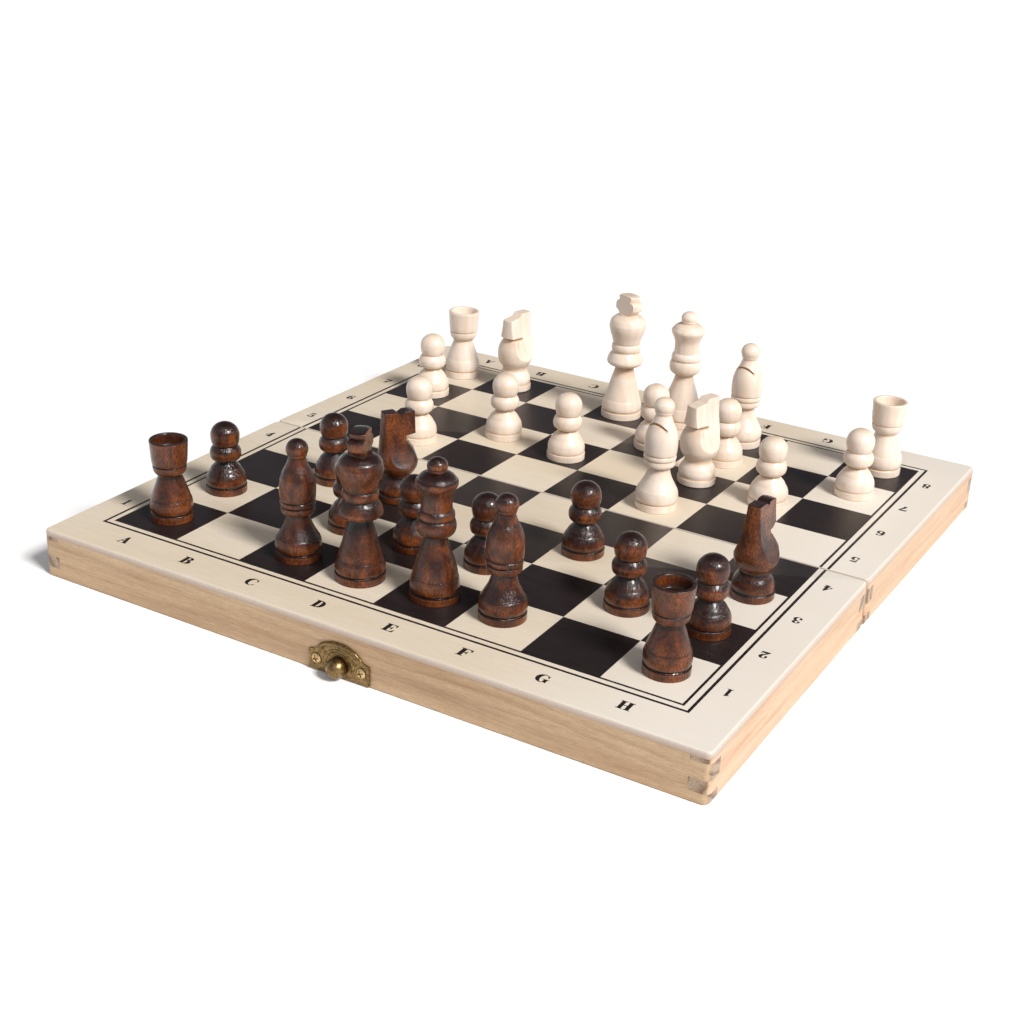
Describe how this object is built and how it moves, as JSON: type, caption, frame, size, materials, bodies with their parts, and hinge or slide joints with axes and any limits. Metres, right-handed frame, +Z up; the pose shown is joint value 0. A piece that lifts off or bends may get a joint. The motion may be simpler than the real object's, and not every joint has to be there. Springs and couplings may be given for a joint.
{
  "type": "folding chess set with board",
  "caption": "Folding wooden chess box opened flat as a checkered board with edge coordinates, brass latch, and turned dark and light chessmen standing in play.",
  "frame": {"origin": "centre of the whole set's bounding box on the table, 1.9 mm in front of the seam between the two halves", "axes": "+X to the right along the seam as seen from the latch side, +Y away from the latch side across the seam, +Z up"},
  "size_m": [0.289, 0.3037, 0.0806],
  "materials": {
    "printed_birch": "pale veneer printed with dark brown squares, border lines and coordinates under a satin lacquer",
    "pine_frame": "satin lacquered softwood with long streaky grain",
    "dark_stained_wood": "glossy reddish brown stain over turned wood",
    "natural_wood": "satin clear lacquer over pale turned wood",
    "antique_brass": "antiqued, dark in the recesses and rubbed bright on the high spots",
    "screw_brass": "plain zinc-brass plate with light wear",
    "pin_steel": "drawn wire"
  },
  "bodies": {
    "front_half": {"front_top_panel": "printed_birch", "front_outer_wall": "pine_frame", "front_seam_wall": "pine_frame", "front_left_wall": "pine_frame", "front_right_wall": "pine_frame", "latch_plate": "antique_brass", "latch_knob": "antique_brass", "latch_left_screw": "screw_brass", "latch_right_screw": "screw_brass", "left_hinge_front_leaf": "antique_brass", "right_hinge_front_leaf": "antique_brass", "left_hinge_pin": "pin_steel", "right_hinge_pin": "pin_steel"},
    "rear_half": {"rear_top_panel": "printed_birch", "rear_outer_wall": "pine_frame", "rear_seam_wall": "pine_frame", "rear_left_wall": "pine_frame", "rear_right_wall": "pine_frame", "left_hinge_rear_leaf": "antique_brass", "right_hinge_rear_leaf": "antique_brass", "hasp_plate": "antique_brass", "hasp_pin": "pin_steel", "hasp_left_screw": "screw_brass", "hasp_right_screw": "screw_brass"},
    "hasp_flap": {"hasp_flap": "antique_brass"},
    "dark_rook_a": {"dark_rook_a": "dark_stained_wood"},
    "dark_rook_h": {"dark_rook_h": "dark_stained_wood"},
    "dark_knight_c": {"dark_knight_c": "dark_stained_wood"},
    "dark_knight_h": {"dark_knight_h": "dark_stained_wood"},
    "dark_bishop_c": {"dark_bishop_c": "dark_stained_wood"},
    "dark_bishop_f": {"dark_bishop_f": "dark_stained_wood"},
    "dark_king": {"dark_king": "dark_stained_wood"},
    "dark_queen": {"dark_queen": "dark_stained_wood"},
    "dark_pawn_a": {"dark_pawn_a": "dark_stained_wood"},
    "dark_pawn_b": {"dark_pawn_b": "dark_stained_wood"},
    "dark_pawn_c": {"dark_pawn_c": "dark_stained_wood"},
    "dark_pawn_d": {"dark_pawn_d": "dark_stained_wood"},
    "dark_pawn_e": {"dark_pawn_e": "dark_stained_wood"},
    "dark_pawn_f": {"dark_pawn_f": "dark_stained_wood"},
    "dark_pawn_g": {"dark_pawn_g": "dark_stained_wood"},
    "dark_pawn_h": {"dark_pawn_h": "dark_stained_wood"},
    "light_rook_a": {"light_rook_a": "natural_wood"},
    "light_rook_h": {"light_rook_h": "natural_wood"},
    "light_knight_b": {"light_knight_b": "natural_wood"},
    "light_knight_f": {"light_knight_f": "natural_wood"},
    "light_bishop_low": {"light_bishop_low": "natural_wood"},
    "light_bishop_f": {"light_bishop_f": "natural_wood"},
    "light_king": {"light_king": "natural_wood"},
    "light_queen": {"light_queen": "natural_wood"},
    "light_pawn_a": {"light_pawn_a": "natural_wood"},
    "light_pawn_b": {"light_pawn_b": "natural_wood"},
    "light_pawn_c": {"light_pawn_c": "natural_wood"},
    "light_pawn_d": {"light_pawn_d": "natural_wood"},
    "light_pawn_e": {"light_pawn_e": "natural_wood"},
    "light_pawn_f": {"light_pawn_f": "natural_wood"},
    "light_pawn_g": {"light_pawn_g": "natural_wood"},
    "light_pawn_h": {"light_pawn_h": "natural_wood"}
  },
  "joints": [
    {"name": "fold", "type": "hinge", "parent": "front_half", "child": "rear_half", "pos_m": [0, 0.00187, 0.0009], "axis": [-1, 0, 0], "range_deg": [-0.82, 179.18]},
    {"name": "hasp_swing", "type": "hinge", "parent": "rear_half", "child": "hasp_flap", "pos_m": [0, 0.15074, 0.00189], "axis": [-1, 0, 0], "range_deg": [0, 180]},
    {"name": "dark_rook_a_lift", "type": "slide", "parent": "front_half", "child": "dark_rook_a", "axis": [0, -0.0071, 1], "range_m": [0, 0.1]},
    {"name": "dark_rook_h_lift", "type": "slide", "parent": "front_half", "child": "dark_rook_h", "axis": [0, -0.0071, 1], "range_m": [0, 0.1]},
    {"name": "dark_knight_c_lift", "type": "slide", "parent": "front_half", "child": "dark_knight_c", "axis": [0, -0.0071, 1], "range_m": [0, 0.1]},
    {"name": "dark_knight_h_lift", "type": "slide", "parent": "front_half", "child": "dark_knight_h", "axis": [0, -0.0071, 1], "range_m": [0, 0.1]},
    {"name": "dark_bishop_c_lift", "type": "slide", "parent": "front_half", "child": "dark_bishop_c", "axis": [0, -0.0071, 1], "range_m": [0, 0.1]},
    {"name": "dark_bishop_f_lift", "type": "slide", "parent": "front_half", "child": "dark_bishop_f", "axis": [0, -0.0071, 1], "range_m": [0, 0.1]},
    {"name": "dark_king_lift", "type": "slide", "parent": "front_half", "child": "dark_king", "axis": [0, -0.0071, 1], "range_m": [0, 0.1]},
    {"name": "dark_queen_lift", "type": "slide", "parent": "front_half", "child": "dark_queen", "axis": [0, -0.0071, 1], "range_m": [0, 0.1]},
    {"name": "dark_pawn_a_lift", "type": "slide", "parent": "front_half", "child": "dark_pawn_a", "axis": [0, -0.0071, 1], "range_m": [0, 0.1]},
    {"name": "dark_pawn_b_lift", "type": "slide", "parent": "front_half", "child": "dark_pawn_b", "axis": [0, -0.0071, 1], "range_m": [0, 0.1]},
    {"name": "dark_pawn_c_lift", "type": "slide", "parent": "front_half", "child": "dark_pawn_c", "axis": [0, -0.0071, 1], "range_m": [0, 0.1]},
    {"name": "dark_pawn_d_lift", "type": "slide", "parent": "front_half", "child": "dark_pawn_d", "axis": [0, -0.0071, 1], "range_m": [0, 0.1]},
    {"name": "dark_pawn_e_lift", "type": "slide", "parent": "front_half", "child": "dark_pawn_e", "axis": [0, -0.0071, 1], "range_m": [0, 0.1]},
    {"name": "dark_pawn_f_lift", "type": "slide", "parent": "front_half", "child": "dark_pawn_f", "axis": [0, -0.0071, 1], "range_m": [0, 0.1]},
    {"name": "dark_pawn_g_lift", "type": "slide", "parent": "front_half", "child": "dark_pawn_g", "axis": [0, -0.0071, 1], "range_m": [0, 0.1]},
    {"name": "dark_pawn_h_lift", "type": "slide", "parent": "front_half", "child": "dark_pawn_h", "axis": [0, -0.0071, 1], "range_m": [0, 0.1]},
    {"name": "light_rook_a_lift", "type": "slide", "parent": "rear_half", "child": "light_rook_a", "axis": [0, 0.0071, 1], "range_m": [0, 0.1]},
    {"name": "light_rook_h_lift", "type": "slide", "parent": "rear_half", "child": "light_rook_h", "axis": [0, 0.0071, 1], "range_m": [0, 0.1]},
    {"name": "light_knight_b_lift", "type": "slide", "parent": "rear_half", "child": "light_knight_b", "axis": [0, 0.0071, 1], "range_m": [0, 0.1]},
    {"name": "light_knight_f_lift", "type": "slide", "parent": "rear_half", "child": "light_knight_f", "axis": [0, 0.0071, 1], "range_m": [0, 0.1]},
    {"name": "light_bishop_low_lift", "type": "slide", "parent": "rear_half", "child": "light_bishop_low", "axis": [0, 0.0071, 1], "range_m": [0, 0.1]},
    {"name": "light_bishop_f_lift", "type": "slide", "parent": "rear_half", "child": "light_bishop_f", "axis": [0, 0.0071, 1], "range_m": [0, 0.1]},
    {"name": "light_king_lift", "type": "slide", "parent": "rear_half", "child": "light_king", "axis": [0, 0.0071, 1], "range_m": [0, 0.1]},
    {"name": "light_queen_lift", "type": "slide", "parent": "rear_half", "child": "light_queen", "axis": [0, 0.0071, 1], "range_m": [0, 0.1]},
    {"name": "light_pawn_a_lift", "type": "slide", "parent": "rear_half", "child": "light_pawn_a", "axis": [0, 0.0071, 1], "range_m": [0, 0.1]},
    {"name": "light_pawn_b_lift", "type": "slide", "parent": "rear_half", "child": "light_pawn_b", "axis": [0, 0.0071, 1], "range_m": [0, 0.1]},
    {"name": "light_pawn_c_lift", "type": "slide", "parent": "rear_half", "child": "light_pawn_c", "axis": [0, 0.0071, 1], "range_m": [0, 0.1]},
    {"name": "light_pawn_d_lift", "type": "slide", "parent": "rear_half", "child": "light_pawn_d", "axis": [0, 0.0071, 1], "range_m": [0, 0.1]},
    {"name": "light_pawn_e_lift", "type": "slide", "parent": "rear_half", "child": "light_pawn_e", "axis": [0, 0.0071, 1], "range_m": [0, 0.1]},
    {"name": "light_pawn_f_lift", "type": "slide", "parent": "rear_half", "child": "light_pawn_f", "axis": [0, 0.0071, 1], "range_m": [0, 0.1]},
    {"name": "light_pawn_g_lift", "type": "slide", "parent": "rear_half", "child": "light_pawn_g", "axis": [0, 0.0071, 1], "range_m": [0, 0.1]},
    {"name": "light_pawn_h_lift", "type": "slide", "parent": "rear_half", "child": "light_pawn_h", "axis": [0, 0.0071, 1], "range_m": [0, 0.1]}
  ]
}
